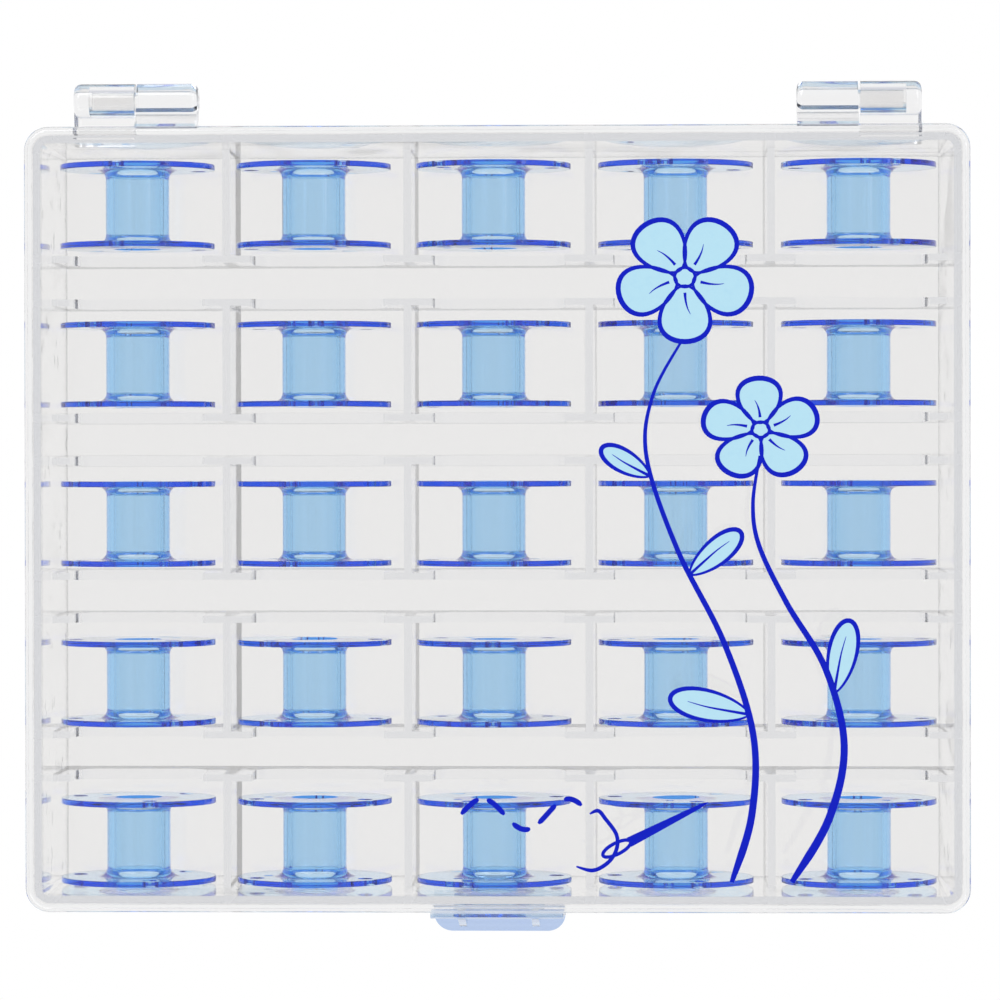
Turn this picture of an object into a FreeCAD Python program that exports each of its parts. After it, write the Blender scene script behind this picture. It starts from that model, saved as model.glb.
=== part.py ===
import FreeCAD, Part
import math
import os
import Sketcher

# Bobbin box: a clear moulded tray and lid for class 15 bobbins, which stand on edge in rows of cells.
# Millimetres. +X runs along a row, +Y points to the hinge side and +Z up. The origin is the centre of
# the tray's underside. The lid is closed.

# Driving sizes: alias, value, meaning. Angles are in degrees.
SIZES = (
    ("columns", 5, "cells in a row"),
    ("rows", 5, "rows of cells"),
    ("bobbin_diameter", 20.5, "flange diameter"),
    ("bobbin_height", 11.2, "over both flanges"),
    ("flange_thickness", 0.75, "each flange"),
    ("rim_round", 0.08, "rounding of the flange rims"),
    ("core_diameter", 8.4, "outside of the hub"),
    ("bore_diameter", 6.2, "spindle bore through the hub"),
    ("core_fillet", 1.2, "fillet between hub and flange"),
    ("eye_diameter", 2.0, "each of the three outer flange holes"),
    ("eye_circle", 16.6, "diameter of the circle of outer flange holes"),
    ("thread_hole", 1.2, "small hole beside the hub for the thread's end"),
    ("thread_circle", 12.4, "diameter of the circle that the small hole lies on"),
    ("side_play", 1.83, "room across a bobbin at the foot of its dividers"),
    ("end_play", 2.5, "room along a bobbin's axis at the foot of its cross walls"),
    ("bobbin_lift", 0.1, "gap under a bobbin"),
    ("head_room", 1.1, "gap between a bobbin and the lid"),
    ("divider_thickness", 1.0, "divider at its top"),
    ("cross_thickness", 0.9, "cross wall at its top"),
    ("rib_height", 12.8, "dividers and cross walls above the floor"),
    ("rib_draft", 1.5, "draft of dividers and cross walls"),
    ("channel_width", 4.15, "open channel between two rows, at the floor"),
    ("wing_length", 3.2, "full-height stretch of cross wall each side of a divider line"),
    ("scoop_floor", 4.0, "what is left of a cross wall in a scoop, above the floor"),
    ("scoop_corner", 3.0, "rounding at the bottom of a scoop"),
    ("floor_thickness", 1.2, "tray floor"),
    ("wall_thickness", 1.0, "outer wall of the tray"),
    ("wall_draft", 2.2, "draft of the outer wall"),
    ("floor_corner", 0.2, "corner radius inside the tray at the floor"),
    ("lid_gap", 0.1, "gap between the tray's rim and the lid's underside"),
    ("lid_clearance", 0.15, "gap between the tray's rim and the lid's skirt"),
    ("lid_thickness", 1.1, "lid plate"),
    ("skirt_thickness", 1.0, "lid skirt"),
    ("skirt_depth", 5.0, "lid skirt from the lid's top"),
    ("lid_round", 0.9, "rounding of the lid's top edge"),
    ("hinge_inset", 14.25, "lid's side to the split between two knuckles"),
    ("hinge_offset", 3.6, "hinge axis behind the lid's rear face"),
    ("hinge_drop", 0.8, "hinge axis below the lid's skirt"),
    ("barrel_diameter", 4.6, "hinge knuckle"),
    ("barrel_round", 0.9, "rounding of a knuckle's free end"),
    ("knuckle_length", 8.0, "each knuckle"),
    ("knuckle_gap", 0.3, "gap between two knuckles"),
    ("arm_gap", 0.2, "gap between the tray's hinge arm and the lid's skirt"),
    ("pin_diameter", 2.4, "pin moulded on the lid's knuckle"),
    ("pin_length", 5.6, "pin inside the tray's knuckle"),
    ("pin_clearance", 0.05, "radial gap between pin and bore"),
    ("pin_end_gap", 0.4, "gap at the pin's end"),
    ("tab_width", 17.4, "latch tab"),
    ("tab_thickness", 1.2, "latch tab"),
    ("tab_bury", 0.34, "how far the tab's root sits inside the skirt's face"),
    ("tab_drop", 15.4, "latch tab below the lid's top"),
    ("lip_reach", 3.7, "finger lip in front of the lid's face"),
    ("lip_height", 2.9, "finger lip"),
    ("lip_edge", 0.8, "thickness of the lip's edge"),
    ("lip_corner", 2.4, "rounding of the lip's corners in plan"),
    ("hook_reach", 0.6, "hook inside the tab"),
    ("hook_height", 1.8, "hook"),
    ("hook_land", 0.6, "flat on the hook and on the catch"),
    ("catch_width", 12.0, "catch ridge on the tray"),
    ("catch_gap", 0.1, "gap between hook and catch"),
    ("rib_width", 1.0, "each of the two ribs on the latch tab"),
    ("rib_spacing", 9.7, "between the two ribs on the latch tab"),
)

# Sizes that follow from the driving ones, written once and used in the objects' expressions.
RIB_RUN = "(sizes.rib_height * tan(sizes.rib_draft))"
DIVIDER_FOOT = f"(sizes.divider_thickness + 2 * {RIB_RUN})"
CROSS_FOOT = f"(sizes.cross_thickness + 2 * {RIB_RUN})"
CELL_DEPTH = "(sizes.bobbin_height + sizes.end_play)"
PITCH_X = f"(sizes.bobbin_diameter + sizes.side_play + {DIVIDER_FOOT})"
PITCH_Y = f"({CELL_DEPTH} + 2 * {CROSS_FOOT} + sizes.channel_width)"
RIB_TOP = "(sizes.floor_thickness + sizes.rib_height)"

LID_UNDER = ("(sizes.floor_thickness + sizes.bobbin_lift + sizes.bobbin_diameter"
             " + sizes.head_room)")
LID_TOP = f"({LID_UNDER} + sizes.lid_thickness)"
RIM_HEIGHT = f"({LID_UNDER} - sizes.lid_gap)"
WALL_RUN = f"(({RIM_HEIGHT} - sizes.floor_thickness) * tan(sizes.wall_draft))"
OUTER_RUN = f"({RIM_HEIGHT} * tan(sizes.wall_draft))"
INNER_WIDTH = f"(sizes.columns * {PITCH_X} - sizes.divider_thickness)"
INNER_LENGTH = f"((sizes.rows - 1) * {PITCH_Y} + {CELL_DEPTH} + 2 * {RIB_RUN})"
INNER_CORNER = f"(sizes.floor_corner + {WALL_RUN})"
RIM_WIDTH = f"({INNER_WIDTH} + 2 * sizes.wall_thickness)"
RIM_LENGTH = f"({INNER_LENGTH} + 2 * sizes.wall_thickness)"
BASE_WIDTH = f"({RIM_WIDTH} - 2 * {OUTER_RUN})"
BASE_LENGTH = f"({RIM_LENGTH} - 2 * {OUTER_RUN})"
BASE_CORNER = f"({INNER_CORNER} + sizes.wall_thickness - {OUTER_RUN})"

SKIRT_INNER_WIDTH = f"({RIM_WIDTH} + 2 * sizes.lid_clearance)"
SKIRT_INNER_LENGTH = f"({RIM_LENGTH} + 2 * sizes.lid_clearance)"
SKIRT_INNER_CORNER = f"({INNER_CORNER} + sizes.wall_thickness + sizes.lid_clearance)"
LID_WIDTH = f"({SKIRT_INNER_WIDTH} + 2 * sizes.skirt_thickness)"
LID_LENGTH = f"({SKIRT_INNER_LENGTH} + 2 * sizes.skirt_thickness)"
LID_CORNER = f"({SKIRT_INNER_CORNER} + sizes.skirt_thickness)"
SKIRT_BOTTOM = f"({LID_TOP} - sizes.skirt_depth)"

AXIS_Y = f"({LID_LENGTH} / 2 + sizes.hinge_offset)"
AXIS_Z = f"({SKIRT_BOTTOM} - sizes.hinge_drop)"
HINGE_X = f"({LID_WIDTH} / 2 - sizes.hinge_inset)"
BARREL_RADIUS = "(sizes.barrel_diameter / 2)"

TAB_BACK = f"({LID_LENGTH} / 2 - sizes.tab_bury)"
TAB_FRONT = f"({TAB_BACK} + sizes.tab_thickness)"
TAB_BOTTOM = f"({LID_TOP} - sizes.tab_drop)"
HOOK_TIP = f"({TAB_BACK} - sizes.hook_reach)"
HOOK_BOTTOM = f"({TAB_BOTTOM} + sizes.tab_thickness)"
HOOK_TOP = f"({HOOK_BOTTOM} + sizes.hook_height)"

BOBBIN_Z = "(sizes.floor_thickness + sizes.bobbin_lift + sizes.bobbin_diameter / 2)"

# Where each column's bobbins came to rest across their cells, as a share of half the side play.
COLUMN_LEAN = (0.0, -0.6, -0.75, -0.65, -0.45)
# Where every bobbin came to rest along its axis, as a share of the room in the front and rear rows.
ROW_LEAN = -0.85
# Each bobbin is turned by its own angle about its axis, in degrees.
TURN_PER_ROW = 97
TURN_PER_COLUMN = 41
# Angle between a bobbin's first outer hole and its small hole, in degrees.
THREAD_HOLE_ANGLE = 27
QUARTER_TURN = math.pi / 2


def make_sheet(doc):
    """Write the driving sizes to the spreadsheet, one row each."""
    sheet = doc.addObject("Spreadsheet::Sheet", "sizes")
    for row, (alias, value, meaning) in enumerate(SIZES, start=1):
        sheet.set(f"A{row}", alias)
        sheet.set(f"B{row}", str(value))
        sheet.setAlias(f"B{row}", alias)
        sheet.set(f"C{row}", meaning)
    doc.recompute()
    return sheet


def number(owner, expression):
    """The plain number that an expression gives."""
    value = owner.evalExpression(expression)
    return float(getattr(value, "Value", value))


def add_body(doc, label):
    """A new body with its own label."""
    body = doc.addObject("PartDesign::Body", label)
    body.Label = label
    return body


def origin_feature(body, role):
    """A plane or axis of a body's own origin."""
    return next(feature for feature in body.Origin.OriginFeatures if feature.Role == role)


def add_sketch(body, name, plane, offset=None):
    """A sketch on one of the body's origin planes, moved along its normal by an expression."""
    sketch = body.newObject("Sketcher::SketchObject", name)
    sketch.AttachmentSupport = [(origin_feature(body, plane), "")]
    sketch.MapMode = "FlatFace"
    if offset:
        sketch.setExpression("AttachmentOffset.Base.z", offset)
    return sketch


def bind(sketch, constraint, expression):
    """Add a constraint and drive its value by an expression."""
    index = sketch.addConstraint(constraint)
    sketch.setExpression(f"Constraints[{index}]", expression)


def pin_point(sketch, geometry, point, across, up):
    """Hold a point of a sketch at two expressions from the sketch's origin."""
    for kind, expression in (("DistanceX", across), ("DistanceY", up)):
        value = number(sketch, expression)
        bind(sketch, Sketcher.Constraint(kind, -1, 1, geometry, point, value), expression)


def add_polygon(sketch, corners):
    """A closed outline of straight lines; each corner is a pair of expressions."""
    places = [FreeCAD.Vector(number(sketch, across), number(sketch, up), 0) for across, up in corners]
    first = sketch.GeometryCount
    for index, start in enumerate(places):
        end = places[(index + 1) % len(places)]
        sketch.addGeometry(Part.LineSegment(start, end))
    for index, (across, up) in enumerate(corners):
        follower = first + (index + 1) % len(corners)
        sketch.addConstraint(Sketcher.Constraint("Coincident", first + index, 2, follower, 1))
        pin_point(sketch, first + index, 1, across, up)


def add_circle(sketch, across, up, radius):
    """A circle whose centre and radius are expressions."""
    centre = FreeCAD.Vector(number(sketch, across), number(sketch, up), 0)
    value = number(sketch, radius)
    circle = sketch.addGeometry(Part.Circle(centre, FreeCAD.Vector(0, 0, 1), value))
    pin_point(sketch, circle, 3, across, up)
    bind(sketch, Sketcher.Constraint("Radius", circle, value), radius)


def add_corner_cut(sketch, side, front, radius, margin):
    """The piece outside a rounded corner whose sides lie at X = side and Y = front (below zero)."""
    corners = (
        (f"{side} - {radius}", front),
        (f"{side} - {radius}", f"{front} - {margin}"),
        (f"{side} + {margin}", f"{front} - {margin}"),
        (f"{side} + {margin}", f"{front} + {radius}"),
        (side, f"{front} + {radius}"),
    )
    places = [FreeCAD.Vector(number(sketch, across), number(sketch, up), 0) for across, up in corners]
    for start, end in zip(places, places[1:]):
        sketch.addGeometry(Part.LineSegment(start, end))
    for index in range(1, 4):
        sketch.addConstraint(Sketcher.Constraint("Coincident", index - 1, 2, index, 1))
        pin_point(sketch, index, 1, *corners[index])
    pin_point(sketch, 0, 1, *corners[0])
    pin_point(sketch, 3, 2, *corners[4])
    value = number(sketch, radius)
    centre = FreeCAD.Vector(places[0].x, places[4].y, 0)
    circle = Part.Circle(centre, FreeCAD.Vector(0, 0, 1), value)
    arc = sketch.addGeometry(Part.ArcOfCircle(circle, 3 * QUARTER_TURN, 4 * QUARTER_TURN))
    sketch.addConstraint(Sketcher.Constraint("Coincident", arc, 1, 0, 1))
    sketch.addConstraint(Sketcher.Constraint("Coincident", arc, 2, 3, 2))
    bind(sketch, Sketcher.Constraint("Radius", arc, value), radius)


def add_rounded_rectangle(sketch, left, right, low, high, radius):
    """A rectangle with four equal rounded corners, between four expressions."""
    x_low, x_high = number(sketch, left), number(sketch, right)
    y_low, y_high = number(sketch, low), number(sketch, high)
    corner = number(sketch, radius)
    first = sketch.GeometryCount
    sides = (
        (x_low + corner, y_low, x_high - corner, y_low),
        (x_high, y_low + corner, x_high, y_high - corner),
        (x_high - corner, y_high, x_low + corner, y_high),
        (x_low, y_high - corner, x_low, y_low + corner),
    )
    for x_start, y_start, x_end, y_end in sides:
        start = FreeCAD.Vector(x_start, y_start, 0)
        sketch.addGeometry(Part.LineSegment(start, FreeCAD.Vector(x_end, y_end, 0)))
    centres = (
        (x_high - corner, y_low + corner),
        (x_high - corner, y_high - corner),
        (x_low + corner, y_high - corner),
        (x_low + corner, y_low + corner),
    )
    for index, (x_centre, y_centre) in enumerate(centres):
        circle = Part.Circle(FreeCAD.Vector(x_centre, y_centre, 0), FreeCAD.Vector(0, 0, 1), corner)
        sketch.addGeometry(Part.ArcOfCircle(circle, (index - 1) * QUARTER_TURN, index * QUARTER_TURN))
    for index in range(4):
        side, arc, follower = first + index, first + 4 + index, first + (index + 1) % 4
        sketch.addConstraint(Sketcher.Constraint("Tangent", side, 2, arc, 1))
        sketch.addConstraint(Sketcher.Constraint("Tangent", arc, 2, follower, 1))
        sketch.addConstraint(Sketcher.Constraint("Horizontal" if index % 2 == 0 else "Vertical", side))
    for index in range(1, 4):
        sketch.addConstraint(Sketcher.Constraint("Equal", first + 4, first + 4 + index))
    bind(sketch, Sketcher.Constraint("Radius", first + 4, corner), radius)
    bind(sketch, Sketcher.Constraint("DistanceY", -1, 1, first, 1, y_low), low)
    bind(sketch, Sketcher.Constraint("DistanceX", -1, 1, first + 1, 1, x_high), right)
    bind(sketch, Sketcher.Constraint("DistanceY", -1, 1, first + 2, 1, y_high), high)
    bind(sketch, Sketcher.Constraint("DistanceX", -1, 1, first + 3, 1, x_low), left)


def centred(width, length):
    """Left, right, low and high of a rectangle centred on the origin."""
    return f"-{width} / 2", f"{width} / 2", f"-{length} / 2", f"{length} / 2"


def add_feature(body, kind, name, sketch, length, both_ways=False, backwards=False, taper=None):
    """A Pad or Pocket of a sketch. Raises if it leaves the body's volume as it was."""
    before = body.Tip.Shape.Volume if body.Tip else 0.0
    feature = body.newObject(f"PartDesign::{kind}", name)
    feature.Profile = sketch
    if both_ways:
        feature.SideType = "Symmetric"
    feature.Reversed = backwards
    feature.setExpression("Length", length)
    if taper:
        feature.setExpression("TaperAngle", taper)
    sketch.Visibility = False
    body.Document.recompute()
    change = feature.Shape.Volume - before
    if (change < 0.001) if kind == "Pad" else (change > -0.001):
        raise RuntimeError(f"{body.Label}: {name} changes nothing")
    return feature


def repeat(body, name, feature, axis, span, count):
    """Copies of a feature along an origin axis; span is from the first copy to the last."""
    pattern = body.newObject("PartDesign::LinearPattern", name)
    pattern.Originals = [feature]
    pattern.Direction = (origin_feature(body, axis), [""])
    pattern.setExpression("Length", span)
    pattern.setExpression("Occurrences", count)
    body.Tip = pattern
    body.Document.recompute()
    return pattern


def mirror(body, name, features):
    """The same features on the other side of the YZ plane."""
    mirrored = body.newObject("PartDesign::Mirrored", name)
    mirrored.Originals = features
    mirrored.MirrorPlane = (origin_feature(body, "YZ_Plane"), [""])
    body.Tip = mirrored
    body.Document.recompute()
    return mirrored


def round_edges(body, name, radius, wanted):
    """Fillet the edges of the body that a test picks out."""
    base = body.Tip
    edges = [f"Edge{index}" for index, edge in enumerate(base.Shape.Edges, start=1) if wanted(edge)]
    if not edges:
        raise RuntimeError(f"{body.Label}: {name} finds no edge")
    fillet = body.newObject("PartDesign::Fillet", name)
    fillet.Base = (base, edges)
    fillet.setExpression("Radius", radius)
    body.Tip = fillet
    body.Document.recompute()
    return fillet


def is_circle(edge, radius):
    """True for a whole circle of a radius."""
    curve = edge.Curve
    return isinstance(curve, Part.Circle) and edge.isClosed() and abs(curve.Radius - radius) < 1e-4


def tray_shell(body):
    """The outer wall and floor, drafted inside and out."""
    outline = add_sketch(body, "TrayOutline", "XY_Plane")
    add_rounded_rectangle(outline, *centred(BASE_WIDTH, BASE_LENGTH), BASE_CORNER)
    add_feature(body, "Pad", "TrayBlock", outline, RIM_HEIGHT, taper="sizes.wall_draft")
    inside = add_sketch(body, "TrayInside", "XY_Plane", RIM_HEIGHT)
    add_rounded_rectangle(inside, *centred(INNER_WIDTH, INNER_LENGTH), INNER_CORNER)
    depth = f"{RIM_HEIGHT} - sizes.floor_thickness"
    add_feature(body, "Pocket", "TrayHollow", inside, depth, taper="-sizes.wall_draft")


def rib_section(centre, thickness, foot):
    """Corners of a drafted rib that stands on the tray's floor."""
    return (
        (f"{centre} - {foot} / 2", "sizes.floor_thickness"),
        (f"{centre} + {foot} / 2", "sizes.floor_thickness"),
        (f"{centre} + {thickness} / 2", RIB_TOP),
        (f"{centre} - {thickness} / 2", RIB_TOP),
    )


def tray_dividers(body):
    """Dividers between the columns, cut away where the channels between the rows cross them."""
    section = add_sketch(body, "DividerSection", "XZ_Plane")
    first = f"-(sizes.columns - 2) / 2 * {PITCH_X}"
    add_polygon(section, rib_section(first, "sizes.divider_thickness", DIVIDER_FOOT))
    divider = add_feature(body, "Pad", "Divider", section, INNER_LENGTH, both_ways=True)
    repeat(body, "Dividers", divider, "X_Axis", f"(sizes.columns - 2) * {PITCH_X}", "sizes.columns - 1")
    band = add_sketch(body, "ChannelOutline", "XY_Plane", "sizes.floor_thickness")
    middle = f"-(sizes.rows - 2) / 2 * {PITCH_Y}"
    half_band = f"(sizes.channel_width + {CROSS_FOOT}) / 2"
    half_width = f"(sizes.columns - 1) / 2 * {PITCH_X}"
    add_polygon(band, (
        (f"-{half_width}", f"{middle} - {half_band}"),
        (half_width, f"{middle} - {half_band}"),
        (half_width, f"{middle} + {half_band}"),
        (f"-{half_width}", f"{middle} + {half_band}"),
    ))
    channel = add_feature(body, "Pocket", "Channel", band, "sizes.rib_height", backwards=True)
    repeat(body, "Channels", channel, "Y_Axis", f"(sizes.rows - 2) * {PITCH_Y}", "sizes.rows - 1")


def tray_cross_walls(body):
    """The two cross walls beside each channel, scooped in the middle of every cell."""
    section = add_sketch(body, "CrossWallSection", "YZ_Plane")
    middle = f"-(sizes.rows - 2) / 2 * {PITCH_Y}"
    reach = f"(sizes.channel_width + {CROSS_FOOT}) / 2"
    for side in ("-", "+"):
        centre = f"{middle} {side} {reach}"
        add_polygon(section, rib_section(centre, "sizes.cross_thickness", CROSS_FOOT))
    pair = add_feature(body, "Pad", "CrossWallPair", section, INNER_WIDTH, both_ways=True)
    repeat(body, "CrossWalls", pair, "Y_Axis", f"(sizes.rows - 2) * {PITCH_Y}", "sizes.rows - 1")
    outline = add_sketch(body, "ScoopOutline", "XZ_Plane")
    centre = f"-(sizes.columns - 1) / 2 * {PITCH_X}"
    half_scoop = f"({PITCH_X} / 2 - sizes.wing_length)"
    bottom = "(sizes.floor_thickness + sizes.scoop_floor)"
    top = f"({RIB_TOP} + 2 * sizes.scoop_corner)"
    add_rounded_rectangle(outline, f"{centre} - {half_scoop}", f"{centre} + {half_scoop}",
                          bottom, top, "sizes.scoop_corner")
    span = f"(sizes.rows - 2) * {PITCH_Y} + sizes.channel_width + 2 * {CROSS_FOOT}"
    scoop = add_feature(body, "Pocket", "Scoop", outline, span, both_ways=True)
    repeat(body, "Scoops", scoop, "X_Axis", f"(sizes.columns - 1) * {PITCH_X}", "sizes.columns")


def tray_hinge(body):
    """Two outer knuckles with blind bores for the lid's pins."""
    start = f"{HINGE_X} + sizes.knuckle_gap / 2"
    arm_outline = add_sketch(body, "TrayArmOutline", "YZ_Plane", start)
    root = f"({RIM_LENGTH} / 2 - 0.6 * sizes.wall_thickness)"
    arm_top = f"({SKIRT_BOTTOM} - sizes.arm_gap)"
    add_polygon(arm_outline, (
        (root, f"{AXIS_Z} - {BARREL_RADIUS}"),
        (AXIS_Y, f"{AXIS_Z} - {BARREL_RADIUS}"),
        (AXIS_Y, arm_top),
        (root, arm_top),
    ))
    arm = add_feature(body, "Pad", "TrayArm", arm_outline, "sizes.knuckle_length")
    barrel_outline = add_sketch(body, "TrayBarrelOutline", "YZ_Plane", start)
    add_circle(barrel_outline, AXIS_Y, AXIS_Z, BARREL_RADIUS)
    barrel = add_feature(body, "Pad", "TrayBarrel", barrel_outline, "sizes.knuckle_length")
    bore_outline = add_sketch(body, "PinBoreOutline", "YZ_Plane", start)
    add_circle(bore_outline, AXIS_Y, AXIS_Z, "sizes.pin_diameter / 2 + sizes.pin_clearance")
    bore_depth = "sizes.pin_length + sizes.pin_end_gap"
    bore = add_feature(body, "Pocket", "PinBore", bore_outline, bore_depth, backwards=True)
    mirror(body, "TrayKnuckles", [arm, barrel, bore])


def tray_catch(body):
    """The ridge on the front wall that the latch hook goes under."""
    section = add_sketch(body, "CatchSection", "YZ_Plane")
    root = f"-({RIM_LENGTH} / 2 - {OUTER_RUN})"
    tip = f"-({HOOK_TIP} - sizes.catch_gap)"
    low = f"({HOOK_TOP} + sizes.catch_gap)"
    add_polygon(section, (
        (root, low),
        (tip, f"{low} + sizes.hook_land / 2"),
        (tip, f"{low} + 1.5 * sizes.hook_land"),
        (root, f"{low} + sizes.hook_height"),
    ))
    add_feature(body, "Pad", "Catch", section, "sizes.catch_width", both_ways=True)


def make_tray(doc):
    """The tray: one moulding with shell, dividers, cross walls, hinge knuckles and catch."""
    body = add_body(doc, "tray")
    tray_shell(body)
    tray_dividers(body)
    tray_cross_walls(body)
    tray_hinge(body)
    tray_catch(body)
    free_end = number(body, f"{HINGE_X} + sizes.knuckle_gap / 2 + sizes.knuckle_length")
    barrel_radius = number(body, BARREL_RADIUS)
    axis_z = number(body, AXIS_Z)
    axis_y = number(body, AXIS_Y)

    def is_free_end(edge):
        curve = edge.Curve
        return (isinstance(curve, Part.Circle) and abs(curve.Radius - barrel_radius) < 1e-4
                and abs(abs(curve.Center.x) - free_end) < 1e-4
                and abs(curve.Center.y - axis_y) < 1e-4 and abs(curve.Center.z - axis_z) < 1e-4)

    round_edges(body, "TrayKnuckleEnds", "sizes.barrel_round", is_free_end)
    return body


def lid_shell(body):
    """The lid plate and its skirt, with a rounded top edge."""
    outline = add_sketch(body, "LidOutline", "XY_Plane", SKIRT_BOTTOM)
    add_rounded_rectangle(outline, *centred(LID_WIDTH, LID_LENGTH), LID_CORNER)
    add_feature(body, "Pad", "LidBlock", outline, "sizes.skirt_depth")
    inside = add_sketch(body, "LidInside", "XY_Plane", SKIRT_BOTTOM)
    add_rounded_rectangle(inside, *centred(SKIRT_INNER_WIDTH, SKIRT_INNER_LENGTH), SKIRT_INNER_CORNER)
    depth = "sizes.skirt_depth - sizes.lid_thickness"
    add_feature(body, "Pocket", "LidHollow", inside, depth, backwards=True)
    top = number(body, LID_TOP)

    def is_top_edge(edge):
        return all(abs(vertex.Z - top) < 1e-4 for vertex in edge.Vertexes)

    round_edges(body, "LidTopEdge", "sizes.lid_round", is_top_edge)


def lid_hinge(body):
    """Two inner knuckles on the lid, each with a pin that points outwards."""
    start = f"{HINGE_X} - sizes.knuckle_gap / 2 - sizes.knuckle_length"
    arm_outline = add_sketch(body, "LidArmOutline", "YZ_Plane", start)
    root = f"({LID_LENGTH} / 2 - sizes.skirt_thickness / 2)"
    add_polygon(arm_outline, (
        (root, SKIRT_BOTTOM),
        (AXIS_Y, f"{AXIS_Z} - {BARREL_RADIUS} / 2"),
        (AXIS_Y, f"{AXIS_Z} + {BARREL_RADIUS} / 2"),
        (root, f"{LID_TOP} - sizes.lid_round"),
    ))
    arm = add_feature(body, "Pad", "LidArm", arm_outline, "sizes.knuckle_length")
    barrel_outline = add_sketch(body, "LidBarrelOutline", "YZ_Plane", start)
    add_circle(barrel_outline, AXIS_Y, AXIS_Z, BARREL_RADIUS)
    barrel = add_feature(body, "Pad", "LidBarrel", barrel_outline, "sizes.knuckle_length")
    pin_outline = add_sketch(body, "PinOutline", "YZ_Plane", f"{HINGE_X} - sizes.knuckle_gap / 2")
    add_circle(pin_outline, AXIS_Y, AXIS_Z, "sizes.pin_diameter / 2")
    pin = add_feature(body, "Pad", "Pin", pin_outline, "sizes.knuckle_gap + sizes.pin_length")
    mirror(body, "LidKnuckles", [arm, barrel, pin])


def lid_tab(body):
    """The latch tab: a springy plate with a hook inside, a finger lip outside and two ribs."""
    section = add_sketch(body, "TabSection", "YZ_Plane")
    lip_front = f"({LID_LENGTH} / 2 + sizes.lip_reach)"
    hook_low = f"{HOOK_BOTTOM} + (sizes.hook_height - sizes.hook_land) / 2"
    hook_high = f"{HOOK_BOTTOM} + (sizes.hook_height + sizes.hook_land) / 2"
    add_polygon(section, (
        (f"-{TAB_BACK}", TAB_BOTTOM),
        (f"-{TAB_BACK}", HOOK_BOTTOM),
        (f"-{HOOK_TIP}", hook_low),
        (f"-{HOOK_TIP}", hook_high),
        (f"-{TAB_BACK}", HOOK_TOP),
        (f"-{TAB_BACK}", f"{LID_TOP} - sizes.lid_round"),
        (f"-({LID_LENGTH} / 2)", f"{LID_TOP} - sizes.lid_round"),
        (f"-{TAB_FRONT}", f"{LID_TOP} - 2 * sizes.lid_round"),
        (f"-{TAB_FRONT}", f"{TAB_BOTTOM} + sizes.lip_height"),
        (f"-{lip_front}", f"{TAB_BOTTOM} + sizes.lip_edge"),
        (f"-{lip_front}", TAB_BOTTOM),
    ))
    add_feature(body, "Pad", "Tab", section, "sizes.tab_width", both_ways=True)
    corner = add_sketch(body, "LipCornerOutline", "XY_Plane", TAB_BOTTOM)
    add_corner_cut(corner, "sizes.tab_width / 2", f"-{lip_front}", "sizes.lip_corner", "sizes.tab_thickness")
    cut = add_feature(body, "Pocket", "LipCorner", corner, "sizes.tab_drop", backwards=True)
    mirror(body, "LipCorners", [cut])
    rib_outline = add_sketch(body, "TabRibSection", "YZ_Plane", "(sizes.rib_spacing - sizes.rib_width) / 2")
    add_polygon(rib_outline, (
        (f"-{TAB_FRONT} + sizes.tab_thickness / 2", TAB_BOTTOM),
        (f"-{lip_front} + sizes.lip_edge", TAB_BOTTOM),
        (f"-{lip_front} + sizes.lip_edge", f"{TAB_BOTTOM} + sizes.lip_height"),
        (f"-{TAB_FRONT} + sizes.tab_thickness / 2", f"{LID_TOP} - 3 * sizes.lid_round"),
    ))
    rib = add_feature(body, "Pad", "TabRib", rib_outline, "sizes.rib_width")
    mirror(body, "TabRibs", [rib])


def make_lid(doc):
    """The lid: one moulding with plate, skirt, hinge knuckles with pins, and latch tab."""
    body = add_body(doc, "lid")
    lid_shell(body)
    lid_hinge(body)
    lid_tab(body)
    inner_end = number(body, f"{HINGE_X} - sizes.knuckle_gap / 2 - sizes.knuckle_length")
    barrel_radius = number(body, BARREL_RADIUS)

    def is_free_end(edge):
        curve = edge.Curve
        return (isinstance(curve, Part.Circle) and abs(curve.Radius - barrel_radius) < 1e-4
                and abs(abs(curve.Center.x) - inner_end) < 1e-4)

    round_edges(body, "LidKnuckleEnds", "sizes.barrel_round", is_free_end)
    return body


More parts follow.
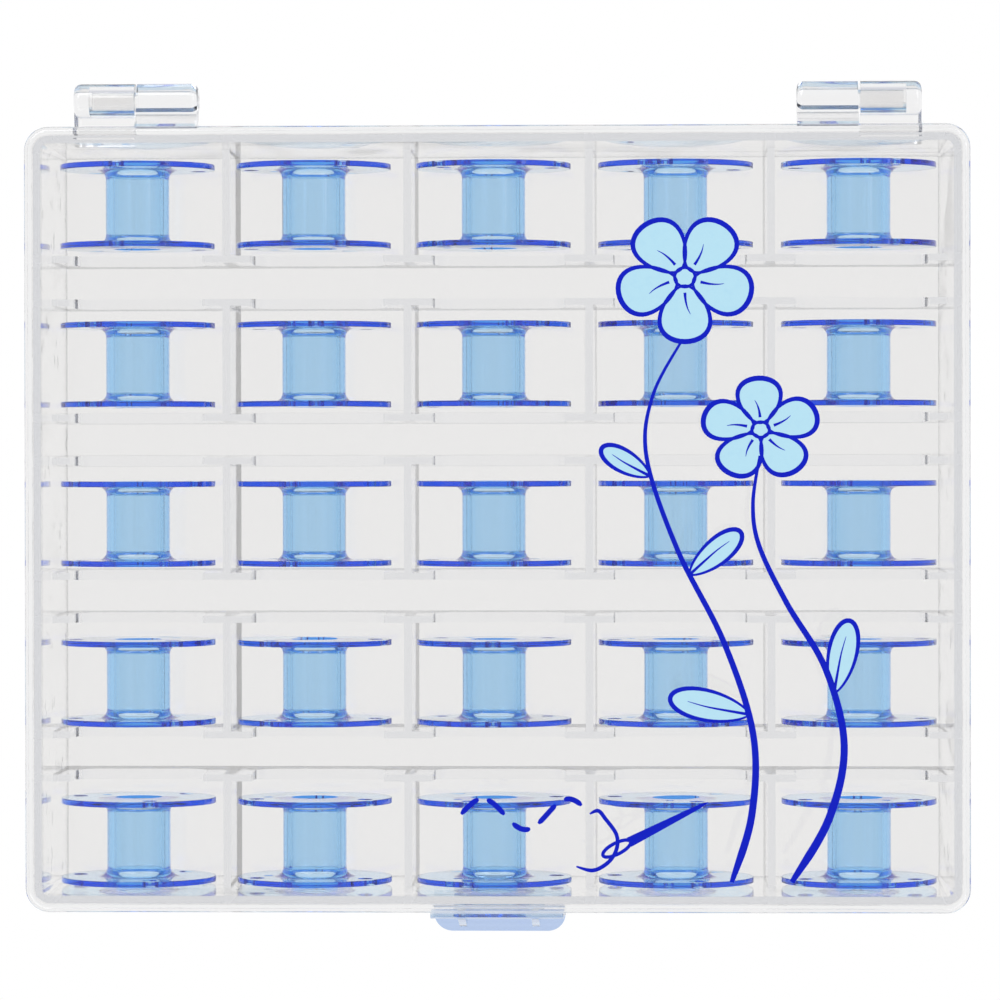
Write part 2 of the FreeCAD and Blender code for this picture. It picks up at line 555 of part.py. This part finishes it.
def make_bobbin(doc, label):
    """A bobbin centred on its body's origin, with its axis along Y."""
    body = add_body(doc, label)
    radius = "sizes.bobbin_diameter / 2"
    core = "sizes.core_diameter / 2"
    bore = "sizes.bore_diameter / 2"
    end = "sizes.bobbin_height / 2"
    inner = f"({end} - sizes.flange_thickness)"
    section = add_sketch(body, f"Section_{label}", "XY_Plane")
    add_polygon(section, (
        (bore, f"-{end}"),
        (radius, f"-{end}"),
        (radius, f"-{inner}"),
        (core, f"-{inner}"),
        (core, inner),
        (radius, inner),
        (radius, end),
        (bore, end),
    ))
    spool = body.newObject("PartDesign::Revolution", f"Spool_{label}")
    spool.Profile = section
    spool.ReferenceAxis = (origin_feature(body, "Y_Axis"), [""])
    doc.recompute()
    core_radius = number(body, core)
    flange_radius = number(body, radius)
    round_edges(body, f"CoreFillet_{label}", "sizes.core_fillet", lambda edge: is_circle(edge, core_radius))
    round_edges(body, f"RimRound_{label}", "sizes.rim_round", lambda edge: is_circle(edge, flange_radius))
    eye_outline = add_sketch(body, f"EyeOutline_{label}", "XZ_Plane")
    add_circle(eye_outline, "sizes.eye_circle / 2", "0", "sizes.eye_diameter / 2")
    eye = add_feature(body, "Pocket", f"Eye_{label}", eye_outline, "2 * sizes.bobbin_height", both_ways=True)
    eyes = body.newObject("PartDesign::PolarPattern", f"Eyes_{label}")
    eyes.Originals = [eye]
    eyes.Axis = (origin_feature(body, "Y_Axis"), [""])
    eyes.Occurrences = 3
    body.Tip = eyes
    doc.recompute()
    hole_outline = add_sketch(body, f"ThreadHoleOutline_{label}", "XZ_Plane")
    add_circle(hole_outline,
               f"sizes.thread_circle / 2 * cos({THREAD_HOLE_ANGLE})",
               f"sizes.thread_circle / 2 * sin({THREAD_HOLE_ANGLE})",
               "sizes.thread_hole / 2")
    add_feature(body, "Pocket", f"ThreadHole_{label}", hole_outline, "2 * sizes.bobbin_height",
                both_ways=True)
    return body


def place_bobbin(body, row, column):
    """Stand a bobbin in its cell. Row 1 is beside the hinge, column 1 is at the low X end."""
    lean = COLUMN_LEAN[(column - 1) % len(COLUMN_LEAN)]
    end_room = f"({CELL_DEPTH} / 2 + {RIB_RUN} - {WALL_RUN} - sizes.bobbin_height / 2)"
    across = f"({column} - (sizes.columns + 1) / 2) * {PITCH_X} + {lean} * sizes.side_play / 2"
    along = f"((sizes.rows + 1) / 2 - {row}) * {PITCH_Y} + {ROW_LEAN} * {end_room}"
    body.Placement = FreeCAD.Placement(
        FreeCAD.Vector(0, 0, 0),
        FreeCAD.Rotation(FreeCAD.Vector(0, 1, 0), TURN_PER_ROW * row + TURN_PER_COLUMN * column),
    )
    body.setExpression("Placement.Base.x", across)
    body.setExpression("Placement.Base.y", along)
    body.setExpression("Placement.Base.z", BOBBIN_Z)


def make_bobbins(doc, sheet):
    """One bobbin in every cell."""
    bodies = []
    for row in range(1, int(sheet.rows) + 1):
        for column in range(1, int(sheet.columns) + 1):
            body = make_bobbin(doc, f"bobbin_r{row}_c{column}")
            place_bobbin(body, row, column)
            bodies.append(body)
    return bodies


def check(doc, bodies):
    """Stop if any object failed or any sub-part is not one valid solid."""
    for item in doc.Objects:
        if {"Invalid", "Error"} & set(item.State):
            raise RuntimeError(f"{item.Label} did not compute: {item.State}")
    for body in bodies:
        shape = body.Shape
        if shape.isNull() or not shape.isValid() or len(shape.Solids) != 1:
            raise RuntimeError(f"{body.Label} is not one valid solid")


def main():
    doc = FreeCAD.newDocument("bobbin_box")
    sheet = make_sheet(doc)
    bodies = [make_tray(doc), make_lid(doc)] + make_bobbins(doc, sheet)
    doc.recompute()
    check(doc, bodies)
    os.makedirs("parts", exist_ok=True)
    for body in bodies:
        body.Shape.exportStep(f"parts/{body.Label}.step")
        print(f"{body.Label}: {body.Shape.Volume:.1f} mm3")


main()
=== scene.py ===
import bmesh
import bpy
import math
from mathutils import Euler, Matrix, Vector


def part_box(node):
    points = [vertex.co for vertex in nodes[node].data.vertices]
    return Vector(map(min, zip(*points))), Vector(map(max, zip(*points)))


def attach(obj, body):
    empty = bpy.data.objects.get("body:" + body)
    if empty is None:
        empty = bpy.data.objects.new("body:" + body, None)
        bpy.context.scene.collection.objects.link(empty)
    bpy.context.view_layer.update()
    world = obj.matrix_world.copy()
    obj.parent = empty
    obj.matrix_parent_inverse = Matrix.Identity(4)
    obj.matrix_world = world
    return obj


# A clear moulded bobbin box with 25 blue bobbins, on a white light table. The CAD nodes get procedural
# plastics, and the lid's screen print is added as two thin pieces of ink.
MM = 0.001

# ---------------------------------------------------------------- frame
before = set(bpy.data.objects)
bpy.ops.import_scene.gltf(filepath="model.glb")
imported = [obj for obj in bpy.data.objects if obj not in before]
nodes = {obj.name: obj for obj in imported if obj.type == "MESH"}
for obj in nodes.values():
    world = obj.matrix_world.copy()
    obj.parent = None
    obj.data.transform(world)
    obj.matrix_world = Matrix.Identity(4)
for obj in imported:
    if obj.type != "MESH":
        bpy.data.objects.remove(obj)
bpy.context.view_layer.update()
scene = bpy.context.scene
LID_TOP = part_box("lid")[1].z


# ---------------------------------------------------------------- node helpers
def new_material(name):
    """An empty node material and its shader, output and texture-coordinate nodes."""
    material = bpy.data.materials.new(name)
    material.use_nodes = True
    tree = material.node_tree
    tree.nodes.clear()
    output = tree.nodes.new("ShaderNodeOutputMaterial")
    shader = tree.nodes.new("ShaderNodeBsdfPrincipled")
    place = tree.nodes.new("ShaderNodeTexCoord")
    tree.links.new(shader.outputs["BSDF"], output.inputs["Surface"])
    return material, tree, shader, output, place


def noise(tree, place, scale, detail, roughness=0.5, stretch=(1.0, 1.0, 1.0)):
    """A noise texture in object space, with the space stretched along each axis."""
    mapping = tree.nodes.new("ShaderNodeMapping")
    mapping.inputs["Scale"].default_value = stretch
    texture = tree.nodes.new("ShaderNodeTexNoise")
    texture.inputs["Scale"].default_value = scale
    texture.inputs["Detail"].default_value = detail
    texture.inputs["Roughness"].default_value = roughness
    tree.links.new(place.outputs["Object"], mapping.inputs["Vector"])
    tree.links.new(mapping.outputs["Vector"], texture.inputs["Vector"])
    return texture


def ramp(tree, source, points):
    """A value ramp through (position, value) points."""
    node = tree.nodes.new("ShaderNodeValToRGB")
    node.color_ramp.interpolation = "EASE"
    elements = node.color_ramp.elements
    while len(elements) > 1:
        elements.remove(elements[-1])
    for index, (position, value) in enumerate(points):
        element = elements[0] if index == 0 else elements.new(position)
        element.position = position
        element.color = (value, value, value, 1.0)
    tree.links.new(source, node.inputs["Fac"])
    return node


def bump(tree, height, strength, distance):
    """A bump node fed by a height."""
    node = tree.nodes.new("ShaderNodeBump")
    node.inputs["Strength"].default_value = strength
    node.inputs["Distance"].default_value = distance
    tree.links.new(height, node.inputs["Height"])
    return node


def mix_colours(tree, first, second):
    """A node that mixes two colours."""
    node = tree.nodes.new("ShaderNodeMix")
    node.data_type = "RGBA"
    node.inputs[6].default_value = first
    node.inputs[7].default_value = second
    return node


def moulded_plastic(name, ior, clarity, absorb, density, wave, scratch_scale):
    """Clear injection-moulded plastic: flow waves, hair scratches, handling haze and a coloured depth."""
    material, tree, shader, output, place = new_material(name)
    shader.inputs["Base Color"].default_value = clarity
    shader.inputs["Transmission Weight"].default_value = 1.0
    shader.inputs["IOR"].default_value = ior
    flow = noise(tree, place, 95.0, 1.0, 0.4, (1.0, 1.0, 0.35))
    scratch = noise(tree, place, scratch_scale, 2.0, 0.65, (0.05, 1.0, 1.0))
    hairlines = ramp(tree, scratch.outputs["Fac"], ((0.0, 0.0), (0.64, 0.0), (0.69, 0.06), (1.0, 0.06)))
    relief = tree.nodes.new("ShaderNodeMath")
    relief.operation = "ADD"
    tree.links.new(flow.outputs["Fac"], relief.inputs[0])
    tree.links.new(hairlines.outputs["Color"], relief.inputs[1])
    surface = bump(tree, relief.outputs["Value"], 1.0, wave)
    tree.links.new(surface.outputs["Normal"], shader.inputs["Normal"])
    haze = noise(tree, place, 70.0, 3.0, 0.62)
    haze_mask = ramp(tree, haze.outputs["Fac"], ((0.0, 0.0), (0.5, 0.0), (0.72, 0.05), (1.0, 0.1)))
    tree.links.new(haze_mask.outputs["Color"], shader.inputs["Roughness"])
    depth = tree.nodes.new("ShaderNodeVolumeAbsorption")
    depth.inputs["Color"].default_value = absorb
    depth.inputs["Density"].default_value = density
    tree.links.new(depth.outputs["Volume"], output.inputs["Volume"])
    return material


def paint_lip_reflection(material, clarity, reflection_blue, front, back):
    """Paints a blue reflection into a clear plastic's colour on the finger grip, from nothing at the back
    plane to full at the front plane.
    """
    tree = material.node_tree
    shader = tree.nodes["Principled BSDF"]
    place = tree.nodes.new("ShaderNodeTexCoord")
    split = tree.nodes.new("ShaderNodeSeparateXYZ")
    reach = tree.nodes.new("ShaderNodeMapRange")
    reach.inputs["From Min"].default_value = back
    reach.inputs["From Max"].default_value = front
    mix = mix_colours(tree, clarity, reflection_blue)
    tree.links.new(place.outputs["Object"], split.inputs["Vector"])
    tree.links.new(split.outputs["Y"], reach.inputs["Value"])
    tree.links.new(reach.outputs["Result"], mix.inputs[0])
    tree.links.new(mix.outputs[2], shader.inputs["Base Color"])


def screen_ink(name, colour, dark):
    """Opaque screen-printed ink: slight mottling, mesh texture and a satin surface."""
    material, tree, shader, output, place = new_material(name)
    shader.inputs["Specular IOR Level"].default_value = 0.2
    mottle = noise(tree, place, 900.0, 4.0, 0.6)
    mix = mix_colours(tree, colour, dark)
    mask = ramp(tree, mottle.outputs["Fac"], ((0.0, 0.0), (0.45, 0.0), (0.8, 0.55), (1.0, 1.0)))
    tree.links.new(mask.outputs["Color"], mix.inputs[0])
    tree.links.new(mix.outputs[2], shader.inputs["Base Color"])
    screen = noise(tree, place, 5200.0, 1.0, 0.5)
    grain = bump(tree, screen.outputs["Fac"], 0.4, 0.00001)
    tree.links.new(grain.outputs["Normal"], shader.inputs["Normal"])
    gloss = ramp(tree, mottle.outputs["Fac"], ((0.0, 0.34), (1.0, 0.52)))
    tree.links.new(gloss.outputs["Color"], shader.inputs["Roughness"])
    return material


# Surface tints, a painted blue reflection for the lid's finger lip, and the colour and density that a plastic
# takes on with depth.
WHITE = (1.0, 1.0, 1.0, 1.0)
CLEAR = (0.965, 0.960, 0.952, 1.0)
CLEAR_DEPTH, CLEAR_DENSITY = (0.40, 0.45, 0.56, 1.0), 15.0
BLUE_DEPTH, BLUE_DENSITY = (0.02, 0.62, 0.985, 1.0), 357.0
LIP_REFLECTION_BLUE = (0.50, 0.62, 0.86, 1.0)
BOX_IOR, BOBBIN_IOR = 1.59, 1.53
TRAY_WAVE, LID_WAVE, BOBBIN_WAVE = 0.00006, 0.00004, 0.00002
TRAY_SCRATCHES, LID_SCRATCHES, BOBBIN_SCRATCHES = 260.0, 340.0, 700.0
# The finger lip is the front of the lid's box, and its colour carries a painted blue reflection.
LIP_REACH = 3.7 * MM
REFLECTION_FADE = 0.6 * MM
lip_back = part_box("lid")[0].y + LIP_REACH
tray_plastic = moulded_plastic("tray_clear_styrene", BOX_IOR, CLEAR, CLEAR_DEPTH, CLEAR_DENSITY,
                               TRAY_WAVE, TRAY_SCRATCHES)
lid_plastic = moulded_plastic("lid_clear_styrene", BOX_IOR, CLEAR, CLEAR_DEPTH, CLEAR_DENSITY,
                              LID_WAVE, LID_SCRATCHES)
# Paint a blue reflection into the colour of the lid's finger lip, fading in over a short distance.
paint_lip_reflection(lid_plastic, CLEAR, LIP_REFLECTION_BLUE, lip_back - REFLECTION_FADE, lip_back)
bobbin_plastic = moulded_plastic("bobbin_blue_styrene", BOBBIN_IOR, WHITE, BLUE_DEPTH, BLUE_DENSITY,
                                 BOBBIN_WAVE, BOBBIN_SCRATCHES)
line_ink = screen_ink("print_deep_blue_ink", (0.0, 0.010, 0.54, 1.0), (0.0, 0.006, 0.43, 1.0))
fill_ink = screen_ink("print_pale_blue_ink", (0.53, 0.82, 0.90, 1.0), (0.48, 0.77, 0.88, 1.0))

for name, node in nodes.items():
    material = bobbin_plastic
    if name.startswith("tray"):
        material = tray_plastic
    if name.startswith("lid"):
        material = lid_plastic
    for slot in node.material_slots:
        slot.material = material

# ---------------------------------------------------------------- print on the lid
INK_DEPTH = 0.02 * MM
FILL_RISE, FILL_STEP = 0.004 * MM, 0.0004 * MM
LINE_RISE, LINE_STEP = 0.012 * MM, 0.0005 * MM
PETALS = 5
EYE_SHARE = 0.15
STEM_STEPS = 10


def smooth_curve(points, steps):
    """Catmull-Rom curve through 2-D points."""
    padded = [points[0], *points, points[-1]]
    curve = []
    for before, start, end, after in zip(padded, padded[1:], padded[2:], padded[3:]):
        for step in range(steps):
            t = step / steps
            curve.append(tuple(
                0.5 * (2 * b + (c - a) * t + (2 * a - 5 * b + 4 * c - d) * t ** 2
                       + (3 * b - a - 3 * c + d) * t ** 3)
                for a, b, c, d in zip(before, start, end, after)))
    curve.append(points[-1])
    return curve


def side_vectors(curve, closed):
    """Unit normals of a 2-D curve at its points."""
    count = len(curve)
    normals = []
    for index in range(count):
        if closed:
            ahead, behind = curve[(index + 1) % count], curve[index - 1]
        else:
            ahead, behind = curve[min(index + 1, count - 1)], curve[max(index - 1, 0)]
        dx, dy = ahead[0] - behind[0], ahead[1] - behind[1]
        length = math.hypot(dx, dy) or 1.0
        normals.append((-dy / length, dx / length))
    return normals


class Ink:
    """Collects thin closed solids of ink on the lid's top, from outlines in millimetres.

    Each solid stands a little prouder than the one before, so that crossing strokes never share a face."""

    def __init__(self, rise, step):
        self.mesh = bmesh.new()
        self.rise = rise
        self.step = step

    def level(self, points, z):
        """New vertices at one height."""
        return [self.mesh.verts.new((x * MM, y * MM, z)) for x, y in points]

    def band(self, left, right, closed):
        """A strip between two curves, with a top, an underside and edges."""
        self.rise += self.step
        top_z, bottom_z = LID_TOP + self.rise, LID_TOP - INK_DEPTH - self.rise
        rings = [self.level(left, top_z), self.level(right, top_z), self.level(right, bottom_z),
                 self.level(left, bottom_z)]
        count = len(left)
        spans = range(count if closed else count - 1)
        for first, second in zip(rings, rings[1:] + rings[:1]):
            for index in spans:
                after = (index + 1) % count
                self.mesh.faces.new((first[index], second[index], second[after], first[after]))
        if not closed:
            self.mesh.faces.new([ring[0] for ring in reversed(rings)])
            self.mesh.faces.new([ring[-1] for ring in rings])

    def stroke(self, curve, width_at):
        """A brush stroke along an open curve, whose width follows width_at from 0 to 1."""
        normals = side_vectors(curve, False)
        last = len(curve) - 1
        left, right = [], []
        for index, ((x, y), (nx, ny)) in enumerate(zip(curve, normals)):
            half = width_at(index / last) / 2
            left.append((x + nx * half, y + ny * half))
            right.append((x - nx * half, y - ny * half))
        self.band(left, right, False)

    def ring(self, curve, width_at):
        """A closed outline that swells and thins."""
        normals = side_vectors(curve, True)
        left, right = [], []
        for index, ((x, y), (nx, ny)) in enumerate(zip(curve, normals)):
            half = width_at(index / len(curve)) / 2
            left.append((x + nx * half, y + ny * half))
            right.append((x - nx * half, y - ny * half))
        self.band(left, right, True)

    def patch(self, outline):
        """A filled shape."""
        self.rise += self.step
        top = self.level(outline, LID_TOP + self.rise)
        bottom = self.level(outline, LID_TOP - INK_DEPTH - self.rise)
        self.mesh.faces.new(top)
        self.mesh.faces.new(list(reversed(bottom)))
        count = len(outline)
        for index in range(count):
            after = (index + 1) % count
            self.mesh.faces.new((top[after], top[index], bottom[index], bottom[after]))

    def finish(self, name, material):
        """Makes the collected solids one piece that rides on the lid."""
        bmesh.ops.recalc_face_normals(self.mesh, faces=self.mesh.faces)
        data = bpy.data.meshes.new(name)
        self.mesh.to_mesh(data)
        self.mesh.free()
        data.materials.append(material)
        piece = bpy.data.objects.new(name, data)
        scene.collection.objects.link(piece)
        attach(piece, "lid")
        return piece


def petal(centre, heading, inner, outer, width, squash, points=40):
    """A rounded petal outline that starts and ends near the blossom's centre."""
    outline = []
    for index in range(points):
        turn = 2 * math.pi * index / points
        along = inner + (outer - inner) * (1 - math.cos(turn)) / 2
        swell = math.sin(turn) * (0.55 + 0.45 * (1 - math.cos(turn)) / 2)
        across = width / 2 * swell
        x = along * math.cos(heading) - across * math.sin(heading)
        y = along * math.sin(heading) + across * math.cos(heading)
        outline.append((centre[0] + x, centre[1] + y * squash))
    return outline


def leaf(base, heading, length, width, points=36):
    """A pointed leaf outline from its base."""
    outline = []
    for index in range(points):
        turn = 2 * math.pi * index / points
        along = length * (1 - math.cos(turn)) / 2
        across = width / 2 * math.sin(turn) * abs(math.sin(turn / 2)) ** 0.4
        outline.append((base[0] + along * math.cos(heading) - across * math.sin(heading),
                        base[1] + along * math.sin(heading) + across * math.cos(heading)))
    return outline


def spoke(centre, radius, angle, squash=1.0):
    """The point at a radius and an angle from a centre."""
    return centre[0] + radius * math.cos(angle), centre[1] + radius * math.sin(angle) * squash


def blossom(centre, size, first, squash):
    """Five petals round a small eye, each with an outline and one short vein."""
    for step in range(PETALS):
        heading = math.radians(first + 360 / PETALS * step)
        outline = petal(centre, heading, 0.13 * size, size, 0.92 * size, squash)
        fills.patch(outline)
        lines.ring(outline, lambda t: 0.34 + 0.34 * math.sin(math.pi * t) ** 2)
        vein = [spoke(centre, r * size, heading + bend, squash)
                for r, bend in ((0.24, 0.0), (0.36, 0.03), (0.48, 0.08), (0.58, 0.14))]
        lines.stroke(smooth_curve(vein, 5), lambda t: 0.34 * (1 - t) + 0.05)
    eye = [spoke(centre, EYE_SHARE * size, math.radians(a), squash) for a in range(0, 360, 15)]
    fills.patch(eye)
    lines.ring(eye, lambda t: 0.4)


lines, fills = Ink(LINE_RISE, LINE_STEP), Ink(FILL_RISE, FILL_STEP)
tall_stem = smooth_curve(
    [(30.6, -47.2), (33.2, -38.5), (33.4, -28.0), (29.6, -16.0), (23.6, -4.0), (19.6, 8.0), (20.4, 16.0),
     (24.2, 23.2)],
    STEM_STEPS)
short_stem = smooth_curve(
    [(38.4, -47.2), (43.2, -39.0), (45.2, -29.5), (42.8, -19.5), (37.8, -11.0), (34.2, -3.5), (33.4, 2.0),
     (34.3, 8.2)],
    STEM_STEPS)
for stem, thick, thin in ((tall_stem, 1.05, 0.32), (short_stem, 1.15, 0.36)):
    lines.stroke(stem, lambda t: thin + (thick - thin) * (1 - t) ** 0.9 * min(1.0, 0.35 + 9.0 * t))
LEAVES = (
    ((32.9, -25.4), 168.0, 10.5, 4.4),
    ((25.2, -7.2), 40.0, 8.6, 3.7),
    ((43.9, -22.6), 78.0, 9.6, 4.1),
    ((20.0, 5.6), 150.0, 7.2, 3.2),
)
for base, heading, length, width in LEAVES:
    turn = math.radians(heading)
    outline = leaf(base, turn, length, width)
    fills.patch(outline)
    lines.ring(outline, lambda t: 0.28 + 0.34 * math.sin(math.pi * t) ** 2)
    rib = [spoke(base, r * length, turn + bend)
           for r, bend in ((0.0, 0.0), (0.3, 0.04), (0.55, 0.03), (0.78, 0.0))]
    lines.stroke(smooth_curve(rib, 6), lambda t: 0.36 * (1 - t) + 0.06)
blossom((24.6, 31.4), 8.9, 54.0, 0.94)
blossom((34.4, 11.6), 7.6, 20.0, 0.88)

STITCH, SPACE, STITCHES = 2.3, 1.05, 5
SEAM_START = -4.6


def seam(x):
    """Height of the wavy running stitch at x."""
    return -38.4 + 2.0 * math.sin(2 * math.pi * (x - SEAM_START) / 11.2)


for number in range(STITCHES):
    start = SEAM_START + number * (STITCH + SPACE)
    dash = [(start + STITCH * k / 8, seam(start + STITCH * k / 8)) for k in range(9)]
    lines.stroke(dash, lambda t: 0.7 * min(1.0, 0.45 + 4.0 * min(t, 1 - t)))
NEEDLE_START, NEEDLE_TURN, NEEDLE_LENGTH = (13.6, -43.9), math.radians(27.0), 15.6


def along_needle(run, side):
    """A point at a run along the needle from its blunt end and a distance to its left."""
    return (NEEDLE_START[0] + run * math.cos(NEEDLE_TURN) - side * math.sin(NEEDLE_TURN),
            NEEDLE_START[1] + run * math.sin(NEEDLE_TURN) + side * math.cos(NEEDLE_TURN))


EYE_CENTRE, EYE_HALF_LENGTH, EYE_HALF_WIDTH, EYE_POINTS = 2.3, 2.0, 0.72, 32
eye_turns = [2 * math.pi * k / EYE_POINTS for k in range(EYE_POINTS)]
eye_hole = [along_needle(EYE_CENTRE - EYE_HALF_LENGTH * math.cos(a), EYE_HALF_WIDTH * math.sin(a))
            for a in eye_turns]
lines.ring(eye_hole, lambda t: 0.46)
shaft = [along_needle(run, 0.0) for run in (4.1, 6.0, 8.0, 10.0, 12.5, 14.5, NEEDLE_LENGTH)]
lines.stroke(shaft, lambda t: 1.25 * (1 - t) ** 0.6 + 0.08)
last = SEAM_START + STITCHES * (STITCH + SPACE)
tail = smooth_curve([(last, seam(last)), (last + 1.1, seam(last) + 0.4), (14.2, -39.0), (15.6, -41.0),
                     along_needle(EYE_CENTRE, 0.0), (14.6, -44.6), (12.6, -45.7), (10.4, -45.2)], 8)
lines.stroke(tail, lambda t: 0.52 * min(1.0, 0.4 + 5.0 * min(t, 1 - t)))
lines.finish("lid_print_lines", line_ink)
fills.finish("lid_print_fills", fill_ink)

# ---------------------------------------------------------------- stage
FLOOR_GAP = 0.0003
FLOOR_HALF = 1.5
# Half widths of the light table's squares, from its white middle outwards.
WHITE_HALF, FADE_HALF, PALE_HALF, TABLE_HALF = 0.0705, 0.088, 0.14, 0.4
floor_mesh = bpy.data.meshes.new("floor")
floor_mesh.from_pydata([(-FLOOR_HALF, -FLOOR_HALF, -FLOOR_GAP), (FLOOR_HALF, -FLOOR_HALF, -FLOOR_GAP),
                        (FLOOR_HALF, FLOOR_HALF, -FLOOR_GAP), (-FLOOR_HALF, FLOOR_HALF, -FLOOR_GAP)],
                       [], [(0, 1, 2, 3)])
floor = bpy.data.objects.new("floor", floor_mesh)
scene.collection.objects.link(floor)


def colour_ramp(tree, source, stops):
    """A linear ramp through (position, colour) stops."""
    node = tree.nodes.new("ShaderNodeValToRGB")
    elements = node.color_ramp.elements
    while len(elements) > 1:
        elements.remove(elements[-1])
    for index, (position, colour) in enumerate(stops):
        element = elements[0] if index == 0 else elements.new(position)
        element.position = position
        element.color = (*colour, 1.0)
    tree.links.new(source, node.inputs["Fac"])
    return node


# The light table glows white under the box and on a square round it, and falls off to a pale blue-grey, so
# that the clear edges, which bend the view outwards, read as soft grey lines.
floor_material = bpy.data.materials.new("light_table")
floor_material.use_nodes = True
table = floor_material.node_tree
table.nodes.clear()
table_output = table.nodes.new("ShaderNodeOutputMaterial")
table_glow = table.nodes.new("ShaderNodeEmission")
table_place = table.nodes.new("ShaderNodeTexCoord")
table_side = table.nodes.new("ShaderNodeVectorMath")
table_side.operation = "ABSOLUTE"
table_split = table.nodes.new("ShaderNodeSeparateXYZ")
table_reach = table.nodes.new("ShaderNodeMath")
table_reach.operation = "MAXIMUM"
table.links.new(table_place.outputs["Object"], table_side.inputs[0])
table.links.new(table_side.outputs["Vector"], table_split.inputs["Vector"])
table.links.new(table_split.outputs["X"], table_reach.inputs[0])
table.links.new(table_split.outputs["Y"], table_reach.inputs[1])
table_colour = colour_ramp(table, table_reach.outputs["Value"], (
    (0.0, (1.0, 1.0, 1.0)),
    (WHITE_HALF, (1.0, 1.0, 1.0)),
    (FADE_HALF, (0.78, 0.79, 0.84)),
    (PALE_HALF, (0.66, 0.68, 0.75)),
    (TABLE_HALF, (0.52, 0.54, 0.61))))
table.links.new(table_colour.outputs["Color"], table_glow.inputs["Color"])
table_glow.inputs["Strength"].default_value = 1.0
table.links.new(table_glow.outputs["Emission"], table_output.inputs["Surface"])
floor_mesh.materials.append(floor_material)

world = bpy.data.worlds.new("studio")
scene.world = world
world.use_nodes = True
sky = world.node_tree
sky.nodes.clear()
sky_output = sky.nodes.new("ShaderNodeOutputWorld")
sky_light = sky.nodes.new("ShaderNodeBackground")
sky_place = sky.nodes.new("ShaderNodeTexCoord")
sky_split = sky.nodes.new("ShaderNodeSeparateXYZ")
sky.links.new(sky_place.outputs["Generated"], sky_split.inputs["Vector"])
sky_colour = colour_ramp(sky, sky_split.outputs["Z"], (
    (0.0, (0.52, 0.54, 0.61)),
    (0.85, (0.56, 0.58, 0.66)),
    (0.95, (0.44, 0.45, 0.49)),
    (1.0, (0.41, 0.42, 0.46))))
sky.links.new(sky_colour.outputs["Color"], sky_light.inputs["Color"])
sky.links.new(sky_light.outputs["Background"], sky_output.inputs["Surface"])


def soft_box(name, azimuth, elevation, distance, width, height, power):
    """A rectangular area light that faces the origin from an azimuth and an elevation in degrees."""
    light = bpy.data.lights.new(name, "AREA")
    light.shape = "RECTANGLE"
    light.size = width
    light.size_y = height
    light.energy = power
    holder = bpy.data.objects.new(name, light)
    a, e = math.radians(azimuth), math.radians(elevation)
    holder.location = (distance * math.cos(e) * math.cos(a), distance * math.cos(e) * math.sin(a),
                       distance * math.sin(e))
    holder.rotation_euler = (-Vector(holder.location)).to_track_quat("-Z", "Y").to_euler()
    scene.collection.objects.link(holder)


BOX_ELEVATION, BOX_DISTANCE, BOX_WIDTH, BOX_HEIGHT = 38.0, 0.75, 0.55, 0.3
SOFT_BOXES = (("key", 125.0, 1.3), ("fill", 35.0, 0.9), ("rim", 230.0, 0.9), ("side", 310.0, 0.9))
for name, azimuth, power in SOFT_BOXES:
    soft_box(name, azimuth, BOX_ELEVATION, BOX_DISTANCE, BOX_WIDTH, BOX_HEIGHT, power)

# ---------------------------------------------------------------- camera
camera_data = bpy.data.cameras.new("camera")
camera_data.lens = 173.35
camera_data.sensor_width = 36.0
camera_data.clip_start = 0.01
camera_data.clip_end = 20.0
camera = bpy.data.objects.new("camera", camera_data)
camera.location = (0.022, 0.008, 0.65)
camera.rotation_euler = Euler((math.radians(-0.506), math.radians(1.9631), math.radians(-0.091)), "XYZ")
scene.collection.objects.link(camera)
scene.camera = camera

scene.view_settings.view_transform = "Standard"
scene.view_settings.look = "None"
scene.cycles.max_bounces = 24
scene.cycles.transmission_bounces = 24
scene.cycles.glossy_bounces = 12
scene.cycles.transparent_max_bounces = 16
scene.cycles.volume_bounces = 0
scene.cycles.caustics_refractive = True
scene.cycles.caustics_reflective = True
